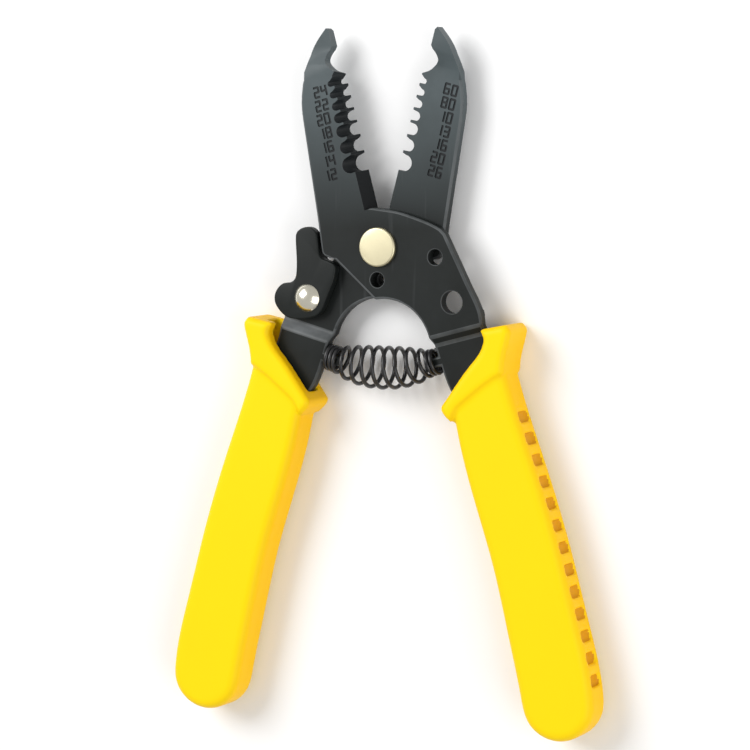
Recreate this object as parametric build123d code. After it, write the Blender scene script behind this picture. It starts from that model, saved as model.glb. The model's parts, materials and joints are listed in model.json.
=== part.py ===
from build123d import *
import math
import os

os.makedirs("parts", exist_ok=True)

# ------------------------------------------------------------ driving sizes (mm, degrees)
# Drawn closed, pivot at (0, 0), jaws towards +Y, the sliding plane of the plates at Z = 0.
OPEN_ANGLE = 30.0            # between the two halves when the spring holds them open
PLATE_T = 3.0                # stamped plate
PLAY = 0.05                  # between faces that slide, and round every turning shank
JAW_LENGTH = 54.1            # pivot to tip
GRIP_LENGTH = 98.8           # one sleeve, mouth to end
GRIP_T = 10.4                # sleeve body
COLLAR_T = 12.4              # raised band at the mouth of the sleeve
GRIP_ROUND = 2.4             # rolled edge of the sleeve body
COLLAR_ROUND = 1.0           # rolled edge of the collar
PIVOT_R = 3.0                # shank of the main rivet
PIVOT_HEAD_R = 4.72
PIVOT_HEAD_T = 1.0
LATCH_HOLE_R = 2.72          # the same hole takes the latch rivet in one plate
LATCH_HEAD_R = 3.35
LATCH_HEAD_T = 1.8
LATCH_T = 2.4
WASHER_T = 0.35
WASHER_R = 4.4
CUT_OVERLAP = 1.0            # how far each edge passes the centre line when closed
BEVEL = 2.3                  # ground back over the plate's thickness
TOOTH_LAND = 0.6             # flat at each tooth tip
NOSE_GAP = 0.25              # each nose stands this far from the centre line
NOSE_SHIFT = (45.2, 48.8)    # where the nose steps to the middle plane
HANDLE_SHIFT = (-24.1, -26.1)
WIRE_R = 0.5
SPRING_END_R = 2.85          # mean radius of the closed end coils
SPRING_MID_R = 4.85
SPRING_END_SHARE = 0.84      # the coil swells inside this share of its length
SPRING_CLEAR = 0.4           # from each end of the coil to the handle's edge
SPRING_SAG = 2.1             # the coil hangs below its two nibs
NIB_ROOT = (7.9, -30.0)      # where the nib leaves the handle's inner edge
NIB_LENGTH = 4.2
NIB_W = 2.4
POCKET_COUNT = 13
POCKET = (2.0, 2.8, 5.4)     # a pocket in the sleeve's outer side: depth x2, length, height
POCKET_Y = (-47.3, -111.4)
MARK_DEPTH = 0.2
DIGIT = (1.2, 2.35, 0.36)    # width, height, stroke

DRAWN_JAW = 54.1             # lengths the outlines below are drawn at
DRAWN_GRIP = 98.8
JAW_SCALE = JAW_LENGTH / DRAWN_JAW
GRIP_SCALE = GRIP_LENGTH / DRAWN_GRIP
JAW_FROM = 8.0               # the jaw stretches above this line
GRIP_FROM = -46.0            # the sleeve stretches below this line
SPARE = 20.0                 # how far cutting shapes run past the tool
DRAWN_OPEN = 30.0            # the coil's ends are drawn at this opening

PIVOT_HEAD_ROUND = 0.45
PIVOT_FOOT = (4.42, 0.9, 0.3)    # radius, thickness, corner of a riveted-over end
LATCH_FOOT = (3.7, 0.8, 0.25)
LATCH_ROUND = 0.35
SHANK_BITE = 0.2             # a shank runs this far into its head

# tooth tips from the cutter outwards, and the wire hole each pair of notches leaves
TOOTH_Y = [18.5, 23.3, 27.3, 30.8, 33.9, 36.9, 39.8, 42.5]
NOTCH_R = [1.95, 1.45, 1.4, 1.15, 0.95, 0.8, 0.65]
CUTTER_ROOT_Y = 9.4
FRONT_MARKS = ["12", "14", "16", "18", "20", "22", "24"]
BACK_MARKS = ["26", "20", "16", "13", "10", "80", "60"]
FRONT_COLUMN = (-7.9, 19.7, 0.13, 3.33)    # first figure's x and y, lean of the column, pitch
BACK_COLUMN = (-8.4, 20.9, 0.056, 3.28)

SHEAR_HOLES = [(13.8, -5.85, 1.9), (-2.35, -7.5, 1.85)]
LATCH_HOLE = (15.3, -17.2)

JAW_OUTER = [(-1.9, 53.2), (-3.9, 51.6), (-5.9, 49.4), (-8.1, 45.6), (-9.8, 42.0), (-11.1, 38.2),
             (-11.8, 33.5), (-12.3, 28.3), (-13.0, 21.4), (-13.5, 16.0), (-14.1, 10.0), (-14.8, 4.2)]
LATCH_CORNER = [(-15.0, 2.3), (-14.6, 1.45), (-13.6, 0.7), (-12.3, 0.25), (-4.3, -11.9)]
ARC_MIDDLE = (3.63, -15.47)
ARC_END = (7.2, -24.1)
HANDLE_INNER = [(7.7, -26.8), (7.9, -30.0), (8.1, -33.0), (8.8, -37.5)]
TANG = [(11.3, -44.0), (12.0, -103.5), (14.0, -107.0), (21.0, -107.0), (23.0, -103.5), (22.4, -45.0),
        (21.6, -36.0)]
HANDLE_OUTER = [(21.2, -30.9), (21.1, -26.2), (21.7, -21.8), (21.2, -17.9), (20.2, -13.7), (19.1, -8.3),
                (18.2, -4.2), (17.6, -1.2)]
SHOULDER = [(14.1, 2.5), (10.5, 4.9), (6.9, 7.0), (4.3, 8.1), (2.0, 9.0)]
NOSE_NOTCH = [(0.1, 43.0), (-0.8, 43.6), (-1.95, 45.1), (-2.5, 46.5), (-1.95, 47.8), (-0.9, 48.8)]

# round the latch's own axis
LATCH_OUTLINE = [(-3.07, 14.85), (-2.57, 16.05), (-1.37, 16.85), (0.03, 17.15), (1.53, 16.75),
                 (2.43, 15.85), (2.83, 14.35), (3.08, 12.05), (3.33, 10.65), (3.93, 9.7), (5.03, 9.25),
                 (6.78, 8.55), (7.48, 7.95), (7.53, 6.35), (7.03, 4.25), (6.13, 2.15), (4.93, -0.55),
                 (4.03, -2.55), (3.03, -3.85), (1.33, -4.65), (-1.27, -5.1), (-3.67, -5.15),
                 (-5.67, -4.65), (-7.67, -3.05), (-8.77, -1.25), (-8.82, 0.55), (-7.87, 2.35),
                 (-6.27, 3.45), (-4.37, 3.75), (-3.37, 4.55), (-2.92, 6.25), (-2.97, 11.65)]

MOUTH = [(22.0, -27.6), (20.5, -30.0), (16.5, -33.1), (10.6, -37.8), (7.8, -40.1)]
MOUTH_CORNER = [(7.0, -41.3), (7.4, -42.7), (8.6, -44.8)]
CREASE = [(11.6, -42.0), (19.2, -38.6), (24.9, -36.6)]
FLARE = [(25.6, -34.3), (27.2, -31.2), (29.2, -27.4)]
FLARE_TOP = [(28.4, -25.6), (21.6, -25.2)]
MOUTH_SPARE = 1.1            # room above and below the tang at the sleeve's mouth
MOUTH_RECESS = [(25.0, -26.6), (21.0, -31.6), (8.9, -41.2), (11.6, -43.4), (23.3, -35.4), (25.0, -31.0)]
MOUTH_OPENING = [(8.6, -30.0), (24.0, -22.0), (24.4, -30.6), (23.0, -34.2), (20.0, -34.6), (9.4, -41.6)]
GRIP_TOP = (9.4, -42.0)
GRIP_INNER = [(8.9, -60.0), (9.8, -80.0), (9.4, -98.0), (8.9, -111.0)]
GRIP_END = [(9.4, -118.3), (12.6, -122.2), (17.3, -123.8), (22.0, -122.8), (25.5, -119.6), (26.9, -115.0)]
GRIP_OUTER = [(27.6, -98.0), (27.5, -80.0), (26.4, -60.0), (25.0, -43.0), (24.8, -36.0)]

# seven-stroke figures: top, upper left, upper right, middle, lower left, lower right, bottom
STROKES = {"0": "1110111", "1": "0010010", "2": "1011101", "3": "1011011", "4": "0111010",
           "5": "1101011", "6": "1101111", "8": "1111111"}


# ------------------------------------------------------------ drawing helpers
def jaw(points):
    """Points above the pivot follow the jaw's length."""
    return [(x, y * JAW_SCALE if y > JAW_FROM else y) for x, y in points]


def sleeve(points):
    """Points down the handle follow the sleeve's length."""
    return [(x, GRIP_FROM + (y - GRIP_FROM) * GRIP_SCALE if y < GRIP_FROM else y) for x, y in points]


def outline(start, *runs):
    """A face from runs of points: straight, smooth, or an arc through one point."""
    edges = []
    last = start
    for kind, points in runs:
        if kind == "smooth":
            edges.append(Spline(last, *points))
        elif kind == "arc":
            edges.append(ThreePointArc(last, *points))
        else:
            chain = [last] + list(points)
            edges += [Line(a, b) for a, b in zip(chain, chain[1:])]
        last = points[-1]
    if last != start:
        edges.append(Line(last, start))
    return Face(Wire(edges))


def upright(face, low, high):
    """A plan face made solid between two heights."""
    return extrude(Pos(0, 0, low) * face, amount=high - low, dir=(0, 0, 1))


def post(radius, low, high, at=(0, 0)):
    """A round upright between two heights."""
    return Pos(at[0], at[1], (low + high) / 2) * Cylinder(radius, high - low)


def rim_edges(solid):
    """Edges of the highest and lowest faces."""
    faces = solid.faces().sort_by(Axis.Z)
    return faces[-1].edges() + faces[0].edges()


# ------------------------------------------------------------ plate
def joggled_sheet():
    """Sheet that steps to the middle plane at the nose and again below the spring."""
    low = PLAY / 2
    mid = -PLATE_T / 2
    top, bottom = jaw([(0, NOSE_SHIFT[1]), (0, NOSE_SHIFT[0])])
    far = JAW_LENGTH + SPARE
    near = -GRIP_LENGTH - 3 * SPARE
    line = [(far, mid), (top[1], mid), (bottom[1], low), (HANDLE_SHIFT[0], low), (HANDLE_SHIFT[1], mid),
            (near, mid)]
    back = [(y, z + PLATE_T) for y, z in reversed(line)]
    face = Plane.YZ * make_face(Polyline(*line, *back, close=True))
    return extrude(face, amount=3 * SPARE, both=True)


def plate_outline():
    """Closed outline with the jaw on the left and the handle on the right."""
    edge = CUT_OVERLAP
    root = jaw([(edge, CUTTER_ROOT_Y)])[0]
    last_tip = jaw([(edge, TOOTH_Y[-1])])[0]
    nose = [(-NOSE_GAP, y * JAW_SCALE) for y in (49.6, 53.4)]
    return outline(jaw([(-0.7, 54.1)])[0],
                   ("smooth", jaw(JAW_OUTER)),
                   ("line", LATCH_CORNER),
                   ("arc", [ARC_MIDDLE, ARC_END]),
                   ("smooth", HANDLE_INNER),
                   ("line", sleeve(TANG)),
                   ("smooth", HANDLE_OUTER),
                   ("line", [(16.7, 0.3)]),
                   ("smooth", jaw(SHOULDER)),
                   ("line", [root, last_tip]),
                   ("smooth", jaw(NOSE_NOTCH)),
                   ("line", nose))


def notch_run(low, high, radius):
    """One wire notch: square to the jaw below, round, then flared out to the next tooth."""
    foot = low + TOOTH_LAND / 2
    radius = min(radius, (high - low - TOOTH_LAND) / 2)
    middle = foot + radius
    edge = CUT_OVERLAP
    return [("line", [(edge, foot), (0, foot)]),
            ("arc", [(-radius, middle), (0, middle + radius)]),
            ("line", [(edge, high - TOOTH_LAND / 2)])]


def edge_grinder():
    """Everything beyond the cutting edge and teeth, leaning back towards the outer face."""
    tips = [y * JAW_SCALE for y in TOOTH_Y]
    edge = CUT_OVERLAP
    root = CUTTER_ROOT_Y * JAW_SCALE
    runs = [("line", [(edge, tips[0])])]
    for low, high, radius in zip(tips, tips[1:], NOTCH_R):
        runs += notch_run(low, high, radius)
    runs.append(("line", [(edge, tips[-1]), (edge + 8, tips[-1] + 8), (edge + 8, root)]))
    face = outline((edge, root), *runs)
    lean = BEVEL / PLATE_T
    below = 0.6
    length = math.hypot(1, lean) * (PLATE_T + 2 * below)
    start = Pos(lean * below, 0, PLAY / 2 - below) * face
    return extrude(start, amount=length, dir=(-lean, 0, 1))


def strokes(text, x, y, z):
    """Stamped figures centred on a point, as thin bars."""
    wide, high, pen = DIGIT
    pitch = wide + 2.2 * pen
    bars = []
    for n, figure in enumerate(text):
        cx = x + (n - (len(text) - 1) / 2) * pitch
        marks = [(0, high / 2, wide, pen), (-wide / 2, high / 4, pen, high / 2),
                 (wide / 2, high / 4, pen, high / 2), (0, 0, wide, pen),
                 (-wide / 2, -high / 4, pen, high / 2), (wide / 2, -high / 4, pen, high / 2),
                 (0, -high / 2, wide, pen)]
        for on, (dx, dy, w, h) in zip(STROKES[figure], marks):
            if on == "1":
                bars.append(Pos(cx + dx, y + dy, z) * Box(w + pen / 2, h + pen / 2, 2 * MARK_DEPTH))
    return bars


def mark_places(column):
    """One figure pair beside each notch, from the cutter outwards."""
    x, y, lean, pitch = column
    rises = [n * pitch for n in range(len(NOTCH_R))]
    return [(x + lean * rise, (y + rise) * JAW_SCALE) for rise in rises]


def plate(marks, column, shank_play, mirrored):
    """One stamped half. The other is the same stamping turned over."""
    body = joggled_sheet() & upright(plate_outline(), -8, 8)
    body -= edge_grinder()
    nib = Box(NIB_LENGTH + NIB_W, NIB_W, PLATE_T)
    body += Pos(NIB_ROOT[0] - NIB_LENGTH / 2 + NIB_W / 2, NIB_ROOT[1], 0) * nib
    body -= post(PIVOT_R + shank_play, -6, 6)
    for x, y, radius in SHEAR_HOLES:
        body -= post(radius, -6, 6, (x, y))
    body -= post(LATCH_HOLE_R, -6, 6, LATCH_HOLE)
    face_z = PLATE_T + PLAY / 2
    if mirrored:
        body = Rot(0, 180, 0) * body
    bars = []
    for text, (x, y) in zip(marks, mark_places(column)):
        bars += strokes(text, -x if mirrored else x, y, -PLAY / 2 if mirrored else face_z)
    return body - bars


# ------------------------------------------------------------ sleeve
def outer_x(y):
    """Where the sleeve's outer side stands at a height."""
    side = [GRIP_END[-1]] + GRIP_OUTER
    for (x1, y1), (x2, y2) in zip(side, side[1:]):
        if y1 <= y <= y2:
            return x1 + (x2 - x1) * (y - y1) / (y2 - y1)
    return side[0][0]


def grip(tang):
    """Dipped sleeve with a raised collar, side pockets, and a slot that fits the tang."""
    body_face = outline(GRIP_TOP, ("smooth", sleeve(GRIP_INNER + GRIP_END + GRIP_OUTER)))
    body = upright(body_face, -GRIP_T / 2, GRIP_T / 2)
    body = fillet(rim_edges(body).filter_by(lambda edge: edge.length > GRIP_LENGTH), GRIP_ROUND)
    collar_face = outline((21.6, -25.2),
                          ("line", [MOUTH[0]]),
                          ("smooth", MOUTH[1:]),
                          ("smooth", MOUTH_CORNER),
                          ("line", CREASE),
                          ("smooth", FLARE),
                          ("line", FLARE_TOP))
    collar = upright(collar_face, -COLLAR_T / 2, COLLAR_T / 2)
    collar = chamfer(rim_edges(collar), COLLAR_ROUND)
    sides = body + collar
    low, high = POCKET_Y
    for n in range(POCKET_COUNT):
        y = low + (high - low) * n / (POCKET_COUNT - 1)
        place = sleeve([(outer_x(y), y)])[0]
        sides -= Pos(place[0], place[1], 0) * Box(*POCKET)
    for hollow in (MOUTH_RECESS, MOUTH_OPENING):
        face = make_face(Polyline(*hollow, close=True))
        sides -= upright(face, -PLATE_T / 2 - MOUTH_SPARE, PLATE_T / 2 + MOUTH_SPARE)
    return (sides - tang).solids().sort_by(SortBy.VOLUME)[-1]


# ------------------------------------------------------------ rivets, washer, latch
def riveted_end(sizes, tail):
    """The spread end of a rivet behind the back plate."""
    radius, thick, corner = sizes
    foot = post(radius, tail - thick, tail)
    return chamfer(foot.faces().sort_by(Axis.Z)[0].edges(), corner)


def pivot_rivet():
    """Flat-headed rivet holding both plates."""
    top = PLATE_T + PLAY / 2
    tail = -PLATE_T - 1.5 * PLAY
    head = post(PIVOT_HEAD_R, top, top + PIVOT_HEAD_T)
    head = fillet(head.faces().sort_by(Axis.Z)[-1].edges(), PIVOT_HEAD_ROUND)
    return post(PIVOT_R, tail - SHANK_BITE, top + SHANK_BITE) + head + riveted_end(PIVOT_FOOT, tail)


def latch_levels():
    """Heights of the washer, the latch plate and the rivet head above the back plate."""
    washer = -PLAY / 2 + PLAY
    lever = washer + WASHER_T + PLAY
    head = lever + LATCH_T + PLAY
    return washer, lever, head


def latch_rivet(at):
    """Domed rivet the latch turns on."""
    washer, lever, head = latch_levels()
    ball = LATCH_HEAD_R ** 2 / (2 * LATCH_HEAD_T) + LATCH_HEAD_T / 2
    dome = Pos(0, 0, head + LATCH_HEAD_T - ball) * Sphere(ball)
    dome &= post(LATCH_HEAD_R, head, head + LATCH_HEAD_T + 1)
    tail = -PLATE_T - 1.5 * PLAY
    shank = post(LATCH_HOLE_R - PLAY, tail - SHANK_BITE, head + SHANK_BITE)
    return Pos(at[0], at[1], 0) * (shank + dome + riveted_end(LATCH_FOOT, tail))


def latch_washer(at):
    """Thin washer between the latch and the plate."""
    washer, lever, head = latch_levels()
    ring = post(WASHER_R, washer, washer + WASHER_T) - post(LATCH_HOLE_R - PLAY, -2, 4)
    return Pos(at[0], at[1], 0) * ring


def latch_lever(at):
    """Thumb latch with a rounded tab and a lobe for the thumb."""
    washer, lever, head = latch_levels()
    start = LATCH_OUTLINE[0]
    face = outline(start, ("smooth", LATCH_OUTLINE[1:] + [start]))
    body = fillet(rim_edges(upright(face, lever, lever + LATCH_T)), LATCH_ROUND)
    body -= post(LATCH_HOLE_R, lever - LATCH_T, lever + 2 * LATCH_T)
    return Pos(at[0], at[1], 0) * body


# ------------------------------------------------------------ spring
def nib_root():
    """Foot of the right nib with the tool open."""
    a = math.radians(OPEN_ANGLE / 2)
    x, y = NIB_ROOT
    return (x * math.cos(a) - y * math.sin(a), x * math.sin(a) + y * math.cos(a))


def coil_half():
    """Half the coil's length: its round ends stand clear of the leaning handles."""
    lean = math.sin(math.radians(OPEN_ANGLE / 2)) - math.sin(math.radians(DRAWN_OPEN / 2))
    return nib_root()[0] - SPRING_CLEAR - (SPRING_END_R + WIRE_R) * lean


def coil_ring(u, grow):
    """The coil's round section at a place from -1 to 1 along its sagging axis."""
    y = nib_root()[1]
    half = coil_half()
    centre = (u * half, y - SPRING_SAG * (1 - u * u), 0)
    slope = 2 * SPRING_SAG * u / half
    swell = max(0.0, 1 - (abs(u) / SPRING_END_SHARE) ** 2.4)
    radius = SPRING_END_R + (SPRING_MID_R - SPRING_END_R) * swell
    return Plane(origin=centre, x_dir=(0, 0, 1), z_dir=(1, slope, 0)) * Circle(radius + grow)


def return_spring():
    """The space that the barrel-shaped coil fills, one wire thick."""
    steps = [-1, -0.84, -0.6, -0.3, 0, 0.3, 0.6, 0.84, 1]
    outside = loft([coil_ring(u, WIRE_R) for u in steps])
    inside = loft([coil_ring(u, -WIRE_R) for u in steps])
    return outside - inside


# ------------------------------------------------------------ assembly, opened
def opened(shape, side):
    """Turn a half to its open place: the front half one way, the back half the other."""
    return Rot(0, 0, side * OPEN_ANGLE / 2) * shape


def mirrored_place(point):
    """A back-half place, drawn closed, with the tool open."""
    a = math.radians(OPEN_ANGLE / 2)
    x, y = -point[0], point[1]
    return (x * math.cos(a) + y * math.sin(a), y * math.cos(a) - x * math.sin(a))


front_closed = plate(FRONT_MARKS, FRONT_COLUMN, 0.0, False)
back_closed = plate(BACK_MARKS, BACK_COLUMN, PLAY, True)
right_closed = grip(front_closed)
left_closed = Rot(0, 180, 0) * grip(Rot(0, 180, 0) * back_closed)
latch_at = mirrored_place(LATCH_HOLE)

nodes = {
    "front_plate": opened(front_closed, 1),
    "back_plate": opened(back_closed, -1),
    "right_grip": opened(right_closed, 1),
    "left_grip": opened(left_closed, -1),
    "pivot_rivet": pivot_rivet(),
    "latch_lever": latch_lever(latch_at),
    "latch_rivet": latch_rivet(latch_at),
    "latch_washer": latch_washer(latch_at),
    "return_spring": return_spring(),
}

boxes = [shape.bounding_box() for shape in nodes.values()]
low = [min(getattr(box.min, axis) for box in boxes) for axis in "XYZ"]
high = [max(getattr(box.max, axis) for box in boxes) for axis in "XYZ"]
shift = (-(low[0] + high[0]) / 2, -(low[1] + high[1]) / 2, -low[2])

for name, shape in nodes.items():
    solids = [Pos(*shift) * solid for solid in shape.solids()]
    placed = solids[0] if len(solids) == 1 else Compound(solids)
    placed.label = name
    export_step(placed, "parts/" + name + ".step")
    size = placed.bounding_box()
    print(name, len(solids), round(placed.volume, 2), size.min, size.max)

print("size", [round(b - a, 2) for a, b in zip(low, high)])
print("pivot", [round(v, 3) for v in shift])
print("latch", [round(a + b, 3) for a, b in zip(latch_at, shift)])
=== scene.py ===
"""Wire stripper with yellow sleeves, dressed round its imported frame."""

import json
import math

import bmesh
import bpy
from mathutils import Matrix, Vector

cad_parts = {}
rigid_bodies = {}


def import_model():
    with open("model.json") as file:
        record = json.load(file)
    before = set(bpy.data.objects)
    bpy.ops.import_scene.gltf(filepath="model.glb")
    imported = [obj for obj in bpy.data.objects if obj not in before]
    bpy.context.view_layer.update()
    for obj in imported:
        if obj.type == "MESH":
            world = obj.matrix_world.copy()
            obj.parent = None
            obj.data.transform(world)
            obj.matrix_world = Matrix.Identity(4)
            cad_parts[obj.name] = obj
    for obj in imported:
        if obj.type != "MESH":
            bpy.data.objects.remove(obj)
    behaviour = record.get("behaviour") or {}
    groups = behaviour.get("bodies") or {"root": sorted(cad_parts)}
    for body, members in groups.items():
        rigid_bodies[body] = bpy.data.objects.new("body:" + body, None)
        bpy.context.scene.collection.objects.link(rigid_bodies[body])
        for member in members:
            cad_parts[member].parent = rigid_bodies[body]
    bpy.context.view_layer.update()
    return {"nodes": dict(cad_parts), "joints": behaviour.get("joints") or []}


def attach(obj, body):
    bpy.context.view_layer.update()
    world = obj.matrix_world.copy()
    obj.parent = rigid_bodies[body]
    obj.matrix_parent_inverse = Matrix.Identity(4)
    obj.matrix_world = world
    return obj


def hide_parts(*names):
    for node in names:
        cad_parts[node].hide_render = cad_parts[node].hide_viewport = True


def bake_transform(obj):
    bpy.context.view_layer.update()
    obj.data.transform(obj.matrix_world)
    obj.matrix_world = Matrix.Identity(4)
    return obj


for leftover in list(bpy.data.objects):
    bpy.data.objects.remove(leftover)

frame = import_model()

# ------------------------------------------------------------ sizes (metres, degrees)
MM = 0.001
JOINTS = {joint["name"]: joint for joint in frame["joints"]}
PIVOT = Vector(JOINTS["main_pivot"]["pos_m"])
LATCH_PIN = Vector(JOINTS["latch_turn"]["pos_m"])
HALF_OPEN = math.radians(JOINTS["main_pivot"]["range_deg"][1] / 2)
PLATE_T = 3.0 * MM
WELD = 0.004 * MM
SHARP = math.radians(28)
ROLL = 0.55 * MM             # rolled edge of a stamped plate

HOLES = [(13.8, -5.85, 1.9), (-2.35, -7.5, 1.85), (15.3, -17.2, 2.72), (0.0, 0.0, 3.0)]
COLUMNS = {1: (-7.9, 19.7, 0.13, 3.33), -1: (-8.4, 20.9, 0.056, 3.28)}

SLEEVE_SIDE = [(26.9, -115.0), (27.6, -98.0), (27.5, -80.0), (26.4, -60.0), (25.0, -43.0)]
POCKET_SHADE_START = 0.35           # millimetres in from the sleeve's side before the painted pocket shade starts
LOWER_BLACK = (0.009, 0.011, 0.010)
JAW_BLACK = (0.080, 0.100, 0.106)
CLOUD_BLACK = (0.024, 0.028, 0.029)
# scratch wear colour, also the painted highlight on rolled edges and the bend
RUBBED_AND_HIGHLIGHT = (0.16, 0.17, 0.175)
GROUND = (0.004, 0.004, 0.005)
# painted highlight: how strongly the back plate's bend, which tilts towards the light, is lightened
BEND_HIGHLIGHT = 1.6

WIRE = 0.5 * MM
END_TURNS = 2.5
TURNS = 13
END_RADIUS = 2.8 * MM
MID_RADIUS = 4.85 * MM
SAG = 2.1 * MM
SPRING_CLEAR = 0.4 * MM
NIB_ROOT = (7.9 * MM, -30.0 * MM)


def alone(piece):
    """Make one piece the only selected and active one."""
    bpy.ops.object.select_all(action="DESELECT")
    piece.select_set(True)
    bpy.context.view_layer.objects.active = piece


def apply_modifiers(piece):
    """Make every modifier part of the mesh."""
    alone(piece)
    for modifier in list(piece.modifiers):
        bpy.ops.object.modifier_apply(modifier=modifier.name)


def dress(piece, body, slot, material, *nodes):
    """Ride a piece on its body, with its finish, in place of CAD nodes."""
    piece.data.materials.clear()
    piece.data.materials.append(material)
    if body:
        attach(piece, body)
    if nodes:
        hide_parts(*nodes)


def welded_copy(node, name):
    """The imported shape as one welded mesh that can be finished."""
    piece = bpy.data.objects.new(name, frame["nodes"][node].data.copy())
    bpy.context.scene.collection.objects.link(piece)
    alone(piece)
    bpy.ops.mesh.customdata_custom_splitnormals_clear()
    bpy.ops.object.mode_set(mode="EDIT")
    bpy.ops.mesh.select_all(action="SELECT")
    bpy.ops.mesh.remove_doubles(threshold=WELD)
    bpy.ops.object.mode_set(mode="OBJECT")
    return piece


def join_flats(piece, angle=0.6):
    """Make each flat side one face again."""
    alone(piece)
    bpy.ops.object.mode_set(mode="EDIT")
    bpy.ops.mesh.select_all(action="SELECT")
    bpy.ops.mesh.dissolve_limited(angle_limit=math.radians(angle))
    bpy.ops.object.mode_set(mode="OBJECT")


def smooth(piece, degrees=32):
    """Shade curved faces smooth and keep real corners."""
    alone(piece)
    bpy.ops.object.shade_smooth_by_angle(angle=math.radians(degrees))


def closed_place(point, side):
    """A rest place seen in its half's own closed frame, jaw to the left, in millimetres."""
    turn = Matrix.Rotation(-side * HALF_OPEN, 3, "Z")
    local = turn @ (Vector(point) - PIVOT)
    return Vector((side * local.x, local.y, local.z * side)) / MM


def open_place(x, y, z, side):
    """Where a closed-frame point of a half stands at rest. Millimetres in, metres out."""
    turn = Matrix.Rotation(side * HALF_OPEN, 3, "Z")
    return PIVOT + turn @ Vector((side * x * MM, y * MM, z * MM))


# ------------------------------------------------------------ finishes
def new_group(name, inputs, outputs):
    """An empty node group with named sockets."""
    group = bpy.data.node_groups.new(name, "ShaderNodeTree")
    for label, kind, value in inputs:
        socket = group.interface.new_socket(label, in_out="INPUT", socket_type=kind)
        socket.default_value = value
    for label, kind in outputs:
        group.interface.new_socket(label, in_out="OUTPUT", socket_type=kind)
    return group


def mottle_group():
    """Soft cloudiness and fine grain, as masks round one half."""
    group = new_group("mottle", [("Cloud Scale", "NodeSocketFloat", 60.0),
                                 ("Grain Scale", "NodeSocketFloat", 1500.0)],
                      [("Cloud", "NodeSocketFloat"), ("Grain", "NodeSocketFloat")])
    nodes, links = group.nodes, group.links
    entry = nodes.new("NodeGroupInput")
    leave = nodes.new("NodeGroupOutput")
    place = nodes.new("ShaderNodeTexCoord")
    for mask, detail in (("Cloud", 4.0), ("Grain", 2.0)):
        noise = nodes.new("ShaderNodeTexNoise")
        noise.inputs["Detail"].default_value = detail
        noise.inputs["Roughness"].default_value = 0.6
        links.new(place.outputs["Object"], noise.inputs["Vector"])
        links.new(entry.outputs[mask + " Scale"], noise.inputs["Scale"])
        links.new(noise.outputs["Fac"], leave.inputs[mask])
    return group


def scratch_group():
    """Long thin scratches running mostly one way."""
    group = new_group("scratches", [("Scale", "NodeSocketFloat", 300.0), ("Amount", "NodeSocketFloat", 0.5)],
                      [("Mask", "NodeSocketFloat")])
    nodes, links = group.nodes, group.links
    entry = nodes.new("NodeGroupInput")
    leave = nodes.new("NodeGroupOutput")
    place = nodes.new("ShaderNodeTexCoord")
    stretch = nodes.new("ShaderNodeMapping")
    stretch.inputs["Rotation"].default_value = (0.0, 0.0, 0.5)
    stretch.inputs["Scale"].default_value = (1.0, 0.06, 1.0)
    noise = nodes.new("ShaderNodeTexNoise")
    noise.inputs["Detail"].default_value = 3.0
    peak = nodes.new("ShaderNodeMapRange")
    peak.inputs["From Min"].default_value = 0.62
    peak.inputs["From Max"].default_value = 0.74
    scale = nodes.new("ShaderNodeMath")
    scale.operation = "MULTIPLY"
    links.new(place.outputs["Object"], stretch.inputs["Vector"])
    links.new(stretch.outputs["Vector"], noise.inputs["Vector"])
    links.new(entry.outputs["Scale"], noise.inputs["Scale"])
    links.new(noise.outputs["Fac"], peak.inputs["Value"])
    links.new(peak.outputs["Result"], scale.inputs[0])
    links.new(entry.outputs["Amount"], scale.inputs[1])
    links.new(scale.outputs["Value"], leave.inputs["Mask"])
    return group


MOTTLE = mottle_group()
SCRATCHES = scratch_group()


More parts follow.
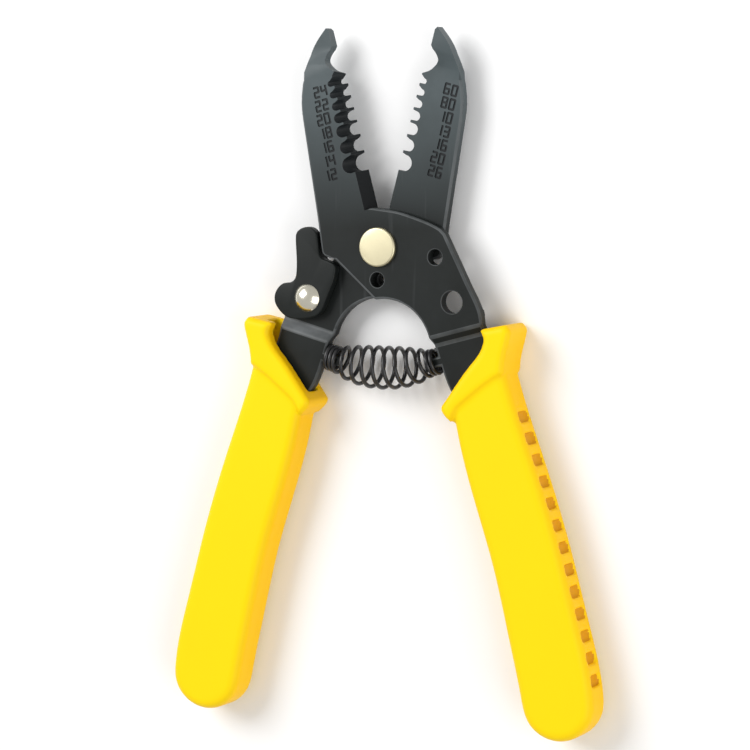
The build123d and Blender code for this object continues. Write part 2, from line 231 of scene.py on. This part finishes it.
class Finish:
    """A material under construction: its nodes, links and shader."""

    def __init__(self, name, roughness, metallic=0.0, specular=0.5, coat=0.0):
        self.material = bpy.data.materials.new(name)
        self.material.use_nodes = True
        self.nodes = self.material.node_tree.nodes
        self.links = self.material.node_tree.links
        self.shader = self.nodes["Principled BSDF"]
        self.shader.inputs["Roughness"].default_value = roughness
        self.shader.inputs["Metallic"].default_value = metallic
        self.shader.inputs["Specular IOR Level"].default_value = specular
        self.shader.inputs["Coat Weight"].default_value = coat

    def group(self, tree, **values):
        """Place a shared effect with its own values."""
        node = self.nodes.new("ShaderNodeGroup")
        node.node_tree = tree
        for label, value in values.items():
            node.inputs[label.replace("_", " ")].default_value = value
        return node

    def ranged(self, source, low, high, to_low, to_high):
        """A mask taken from one range to another."""
        node = self.nodes.new("ShaderNodeMapRange")
        node.inputs["From Min"].default_value = low
        node.inputs["From Max"].default_value = high
        node.inputs["To Min"].default_value = to_low
        node.inputs["To Max"].default_value = to_high
        self.links.new(source, node.inputs["Value"])
        return node.outputs["Result"]

    def blend(self, factor, first, second):
        """Mix two colours, each a colour or a socket."""
        node = self.nodes.new("ShaderNodeMix")
        node.data_type = "RGBA"
        self.links.new(factor, node.inputs["Factor"])
        colours = [socket for socket in node.inputs if socket.type == "RGBA"]
        for socket, colour in zip(colours, (first, second)):
            if isinstance(colour, tuple):
                socket.default_value = (*colour, 1.0)
            else:
                self.links.new(colour, socket)
        return [socket for socket in node.outputs if socket.type == "RGBA"][0]

    def maths(self, operation, first, second):
        """Arithmetic on masks."""
        node = self.nodes.new("ShaderNodeMath")
        node.operation = operation
        for socket, value in zip(node.inputs, (first, second)):
            if isinstance(value, (int, float)):
                socket.default_value = value
            else:
                self.links.new(value, socket)
        return node.outputs["Value"]

    def coordinate(self, kind, axis):
        """One axis of a place or a surface direction in the piece's own space."""
        place = self.nodes.new("ShaderNodeTexCoord")
        split = self.nodes.new("ShaderNodeSeparateXYZ")
        self.links.new(place.outputs[kind], split.inputs["Vector"])
        return split.outputs[axis]

    def mask(self, name):
        """A mark carried by the mesh's own faces."""
        node = self.nodes.new("ShaderNodeAttribute")
        node.attribute_name = name
        return node.outputs["Fac"]

    def bump(self, height, strength, distance):
        """Fine relief."""
        node = self.nodes.new("ShaderNodeBump")
        node.inputs["Strength"].default_value = strength
        node.inputs["Distance"].default_value = distance
        self.links.new(height, node.inputs["Height"])
        self.links.new(node.outputs["Normal"], self.shader.inputs["Normal"])

    def feed(self, label, socket):
        self.links.new(socket, self.shader.inputs[label])


def black_oxide():
    """Blackened steel, bluer and paler along the jaws, rubbed at its corners, with a painted highlight on
    its rolled edges and bend and painted shade in its stamped figures.
    """
    finish = Finish("black_oxide", 0.42, specular=0.2)
    mottle = finish.group(MOTTLE, Cloud_Scale=70.0, Grain_Scale=2600.0)
    jaw = finish.ranged(finish.coordinate("Object", "Y"), 0.036, 0.068, 0.0, 1.0)
    base = finish.blend(jaw, LOWER_BLACK, JAW_BLACK)
    cloud = finish.ranged(mottle.outputs["Cloud"], 0.35, 0.68, 0.0, 0.3)
    varied = finish.blend(cloud, base, CLOUD_BLACK)
    scratch = finish.group(SCRATCHES, Scale=420.0, Amount=0.12)
    worn = finish.blend(scratch.outputs["Mask"], varied, RUBBED_AND_HIGHLIGHT)
    patch = finish.ranged(mottle.outputs["Cloud"], 0.3, 0.6, 0.15, 0.55)
    # Rolled edges are lightened: partly rubbed wear, partly a painted highlight where the rounded edge
    # catches the light.
    rim_wear_and_highlight = finish.blend(finish.maths("MULTIPLY", finish.mask("rim_wear_and_highlight"), patch), worn, RUBBED_AND_HIGHLIGHT)
    ground = finish.blend(finish.maths("MULTIPLY", finish.mask("ground"), 0.8), rim_wear_and_highlight, GROUND)
    # Stamped figures are darkened: painted shade in their shallow grooves.
    figure_shade = finish.maths("MULTIPLY", finish.mask("figure_shade"), 0.8)
    finish.feed("Base Color", finish.blend(figure_shade, ground, GROUND))
    finish.feed("Roughness", finish.ranged(mottle.outputs["Cloud"], 0.3, 0.7, 0.34, 0.48))
    finish.bump(mottle.outputs["Grain"], 0.12, 0.00004)
    return finish.material


def nickel(name, roughness, colour):
    """Nickel plate with a slight warm cast and faint handling marks."""
    finish = Finish(name, roughness, metallic=1.0)
    mottle = finish.group(MOTTLE, Cloud_Scale=160.0, Grain_Scale=1800.0)
    tint = finish.ranged(mottle.outputs["Cloud"], 0.4, 0.75, 0.0, 0.5)
    dull = tuple(value * 0.86 for value in colour)
    finish.feed("Base Color", finish.blend(tint, colour, dull))
    scratch = finish.group(SCRATCHES, Scale=700.0, Amount=0.12)
    rough = finish.maths("ADD", scratch.outputs["Mask"], roughness)
    finish.feed("Roughness", rough)
    finish.bump(mottle.outputs["Grain"], 0.08, 0.00003)
    return finish.material


def oiled_wire():
    """Black spring wire with a thin oily shine."""
    finish = Finish("oiled_wire", 0.3, specular=0.6)
    mottle = finish.group(MOTTLE, Cloud_Scale=400.0, Grain_Scale=3000.0)
    cloud = finish.ranged(mottle.outputs["Cloud"], 0.35, 0.7, 0.0, 1.0)
    finish.feed("Base Color", finish.blend(cloud, (0.006, 0.006, 0.007), (0.016, 0.016, 0.017)))
    finish.feed("Roughness", finish.ranged(mottle.outputs["Cloud"], 0.3, 0.7, 0.24, 0.38))
    return finish.material


def yellow_vinyl():
    """Moulded yellow vinyl: even on its faces, with painted shade deepening it towards its sides and in its
    pockets.
    """
    finish = Finish("yellow_vinyl", 0.42, specular=0.12)
    mottle = finish.group(MOTTLE, Cloud_Scale=45.0, Grain_Scale=2200.0)
    # Faces that turn sideways get painted shade, a deeper orange, by their direction.
    up = finish.maths("ABSOLUTE", finish.coordinate("Normal", "Z"), 0.0)
    side = finish.ranged(up, 0.15, 0.9, 0.85, 0.0)
    cloud = finish.ranged(mottle.outputs["Cloud"], 0.35, 0.7, 0.0, 0.35)
    face = finish.blend(cloud, (1.0, 0.71, 0.004), (1.0, 0.66, 0.003))
    shaded = finish.blend(side, face, (1.0, 0.56, 0.002))
    # Faces inside the side pockets get painted shade, a darker orange-brown.
    finish.feed("Base Color", finish.blend(finish.mask("pocket_shade"), shaded, (0.72, 0.33, 0.008)))
    finish.feed("Roughness", finish.ranged(mottle.outputs["Cloud"], 0.3, 0.7, 0.38, 0.48))
    finish.bump(mottle.outputs["Grain"], 0.10, 0.00005)
    return finish.material


# ------------------------------------------------------------ plates
def in_figures(place, side):
    """Whether a closed-plate place lies in the column of stamped figures."""
    x, y, lean, pitch = COLUMNS[side]
    rise = place.y - y
    beside = abs(place.x - x - lean * rise) < 2.15
    return beside and -1.7 < rise < 6 * pitch + 1.7 and 0.01 < place.z < 3.04


def sunk(place):
    """Whether a closed-plate place lies below both broad faces."""
    return 0.1 < place.z < 2.95


def edge_share(place, side):
    """How much of the full roll an edge gets, by where it lies on the closed plate."""
    if in_figures(place, side):
        return 0.0
    if -5.0 < place.x < 1.3 and 9.0 < place.y < 43.5:
        return 0.12
    if place.y > 43.5:
        return 0.0
    for x, y, radius in HOLES:
        if math.hypot(place.x - x, place.y - y) < radius + 0.3:
            return 0.3
    return 1.0


def roll_edges(piece, side):
    """Round over the plate's corners: full at its outline, slight at its teeth."""
    mesh = bmesh.new()
    mesh.from_mesh(piece.data)
    layer = mesh.edges.layers.float.new("bevel_weight_edge")
    for edge in mesh.edges:
        if len(edge.link_faces) == 2 and edge.calc_face_angle(0.0) > SHARP:
            middle = (edge.verts[0].co + edge.verts[1].co) / 2
            edge[layer] = edge_share(closed_place(middle, side), side)
    mesh.to_mesh(piece.data)
    mesh.free()
    piece.data.materials.clear()
    for count in range(2):
        piece.data.materials.append(None)
    bevel = piece.modifiers.new("roll", "BEVEL")
    bevel.limit_method = "WEIGHT"
    bevel.width = ROLL
    bevel.segments = 3
    bevel.material = 1
    bevel.use_clamp_overlap = False
    apply_modifiers(piece)


def mark_faces(piece, side):
    """Say which faces are rolled corners and the bend (wear and painted highlight), ground bevels and
    stamped figures (painted shade).
    """
    mesh = piece.data
    names = ("rim_wear_and_highlight", "ground", "figure_shade")
    for name in names:
        mesh.attributes.new(name, "FLOAT", "FACE")
    marks = {name: mesh.attributes[name] for name in names}
    for face in mesh.polygons:
        place = closed_place(face.center, side)
        rolled = face.material_index == 1
        leaning = abs(face.normal.z) < 0.97
        near_edge = place.x > -5.0 and 9.0 < place.y < 43.5
        marks["rim_wear_and_highlight"].data[face.index].value = float(rolled)
        marks["ground"].data[face.index].value = float(leaning and near_edge)
        # painted shade in the stamped figures' grooves
        marks["figure_shade"].data[face.index].value = float(in_figures(place, side) and sunk(place))
        # The back plate's bend gets a painted highlight, as it tilts towards the light.
        lit_bend = side < 0 and leaning and abs(face.normal.z) > 0.5 and -27.0 < place.y < -23.0
        if lit_bend:
            marks["rim_wear_and_highlight"].data[face.index].value = BEND_HIGHLIGHT
        face.material_index = 0


def plate(node, side, body, material):
    """A stamped half with rolled edges and its gauge figures."""
    piece = welded_copy(node, node + "_finished")
    join_flats(piece)
    roll_edges(piece, side)
    mark_faces(piece, side)
    smooth(piece, 35)
    even = piece.modifiers.new("even", "WEIGHTED_NORMAL")
    even.keep_sharp = True
    even.weight = 100
    apply_modifiers(piece)
    dress(piece, body, "black_steel", material, node)
    return piece


# ------------------------------------------------------------ sleeves
def side_line(y):
    """How far out the sleeve's outer side stands at a closed height, in millimetres."""
    for (x1, y1), (x2, y2) in zip(SLEEVE_SIDE, SLEEVE_SIDE[1:]):
        if y1 <= y <= y2:
            return x1 + (x2 - x1) * (y - y1) / (y2 - y1)
    return math.inf


def mark_pocket_shade(piece, side):
    """Say which faces lie inside the row of side pockets, for their painted shade."""
    pocket_shade = piece.data.attributes.new("pocket_shade", "FLOAT", "FACE")
    for face in piece.data.polygons:
        place = closed_place(face.center, side)
        sunk_in = POCKET_SHADE_START < side_line(place.y) - place.x < 2.0
        pocket_shade.data[face.index].value = float(sunk_in and abs(place.z) < 2.8)


def sleeve(node, side, body, material):
    """A moulded sleeve with softened corners."""
    piece = welded_copy(node, node + "_moulded")
    remesh = piece.modifiers.new("skin", "REMESH")
    remesh.mode = "VOXEL"
    remesh.voxel_size = 0.42 * MM
    soften = piece.modifiers.new("soften", "SMOOTH")
    soften.factor = 0.5
    soften.iterations = 5
    apply_modifiers(piece)
    mark_pocket_shade(piece, side)
    smooth(piece, 60)
    dress(piece, body, "grip", material, node)
    return piece


# ------------------------------------------------------------ spring
def coil_place(turn):
    """A point on the wire's centre line."""
    foot = Matrix.Rotation(HALF_OPEN, 2) @ Vector(NIB_ROOT)
    half = foot.x - SPRING_CLEAR - WIRE
    close = 2.12 * WIRE
    opened = (2 * half - 2 * END_TURNS * close) / (TURNS - 2 * END_TURNS)
    if turn < END_TURNS:
        x = -half + turn * close
    elif turn > TURNS - END_TURNS:
        x = half - (TURNS - turn) * close
    else:
        x = -half + END_TURNS * close + (turn - END_TURNS) * opened
    u = x / half
    slope = 2 * SAG * u / half
    size = math.hypot(1.0, slope)
    swell = max(0.0, 1.0 - (abs(u) / 0.86) ** 2.4)
    radius = END_RADIUS + (MID_RADIUS - END_RADIUS) * swell
    angle = 2 * math.pi * turn
    side = radius * math.cos(angle)
    rise = radius * math.sin(angle)
    y = foot.y - SAG * (1 - u * u)
    return PIVOT + Vector((x - side * slope / size, y + side / size, rise))


def spring(material):
    """The barrel-shaped coil, wound turn by turn."""
    steps = 28
    line = bpy.data.curves.new("return_coil", "CURVE")
    line.dimensions = "3D"
    line.bevel_depth = WIRE
    line.bevel_resolution = 4
    line.use_fill_caps = True
    count = TURNS * steps + 1
    path = line.splines.new("POLY")
    path.points.add(count - 1)
    for n in range(count):
        path.points[n].co = (*coil_place(n / steps), 1.0)
    piece = bpy.data.objects.new("return_coil", line)
    bpy.context.scene.collection.objects.link(piece)
    alone(piece)
    bpy.ops.object.convert(target="MESH")
    piece = bpy.context.object
    smooth(piece, 60)
    dress(piece, None, "spring_wire", material, "return_spring")
    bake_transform(piece)
    return piece


# ------------------------------------------------------------ small pieces
def small_piece(node, name, body, slot, material, roll=0.0):
    """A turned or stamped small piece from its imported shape."""
    piece = welded_copy(node, name)
    join_flats(piece)
    if roll:
        bevel = piece.modifiers.new("roll", "BEVEL")
        bevel.limit_method = "ANGLE"
        bevel.angle_limit = SHARP
        bevel.width = roll
        bevel.segments = 2
        apply_modifiers(piece)
    smooth(piece, 35)
    dress(piece, body, slot, material, node)
    return piece


# ------------------------------------------------------------ studio
def floor_finish():
    """Plain pale floor that reads as white."""
    finish = Finish("studio_floor", 0.9, specular=0.0)
    finish.shader.inputs["Base Color"].default_value = (0.97, 0.97, 0.97, 1.0)
    return finish.material


def studio():
    """Pale floor, soft light and a white surround."""
    bpy.ops.object.select_all(action="DESELECT")
    bpy.ops.mesh.primitive_plane_add(size=6.0, location=(0, 0, 0))
    floor = bpy.context.object
    floor.name = "studio_floor"
    floor.data.materials.append(floor_finish())
    world = bpy.data.worlds.new("studio")
    bpy.context.scene.world = world
    world.use_nodes = True
    world.node_tree.nodes["Background"].inputs["Color"].default_value = (1, 1, 1, 1)
    world.node_tree.nodes["Background"].inputs["Strength"].default_value = 0.5
    for name, place, size, power in (("key", (-0.45, 0.35, 0.6), 0.5, 5.0),
                                     ("fill", (0.65, -0.2, 0.42), 0.6, 2.6)):
        data = bpy.data.lights.new(name, "AREA")
        data.size = size
        data.energy = power
        lamp = bpy.data.objects.new(name, data)
        lamp.location = place
        lamp.rotation_mode = "QUATERNION"
        lamp.rotation_quaternion = (-Vector(place)).to_track_quat("-Z", "Y")
        bpy.context.scene.collection.objects.link(lamp)
    bpy.context.scene.view_settings.view_transform = "Standard"


def camera():
    """Looking down on the tool from the right, a little towards the jaws."""
    back = Vector((0.43220, 0.08596, 0.89767)).normalized()
    right = Vector((0, 1, 0)).cross(back).normalized()
    up = back.cross(right)
    aim = Vector((-2.3 * MM, 0.7 * MM, PIVOT.z))
    data = bpy.data.cameras.new("camera")
    data.lens = 147.4
    data.sensor_width = 36.0
    data.clip_start = 0.01
    data.clip_end = 20.0
    eye = bpy.data.objects.new("camera", data)
    turn = Matrix((right, up, back)).transposed().to_4x4()
    eye.matrix_world = Matrix.Translation(aim + back * 0.7383) @ turn
    bpy.context.scene.collection.objects.link(eye)
    bpy.context.scene.camera = eye


# ------------------------------------------------------------ the tool
steel = black_oxide()
bright = nickel("bright_nickel", 0.22, (0.92, 0.88, 0.74))
satin = nickel("satin_nickel", 0.42, (0.68, 0.62, 0.42))
vinyl = yellow_vinyl()

plate("front_plate", 1, "front_half", steel)
plate("back_plate", -1, "back_half", steel)
sleeve("right_grip", 1, "front_half", vinyl)
sleeve("left_grip", -1, "back_half", vinyl)
spring(oiled_wire())
small_piece("pivot_rivet", "pivot_rivet_head", "front_half", "nickel", satin)
small_piece("latch_rivet", "latch_rivet_head", "latch_pin", "nickel", bright)
small_piece("latch_washer", "latch_washer_ring", "latch_pin", "nickel", satin)
small_piece("latch_lever", "latch_lever_plate", "latch", "black_steel", steel)
studio()
camera()
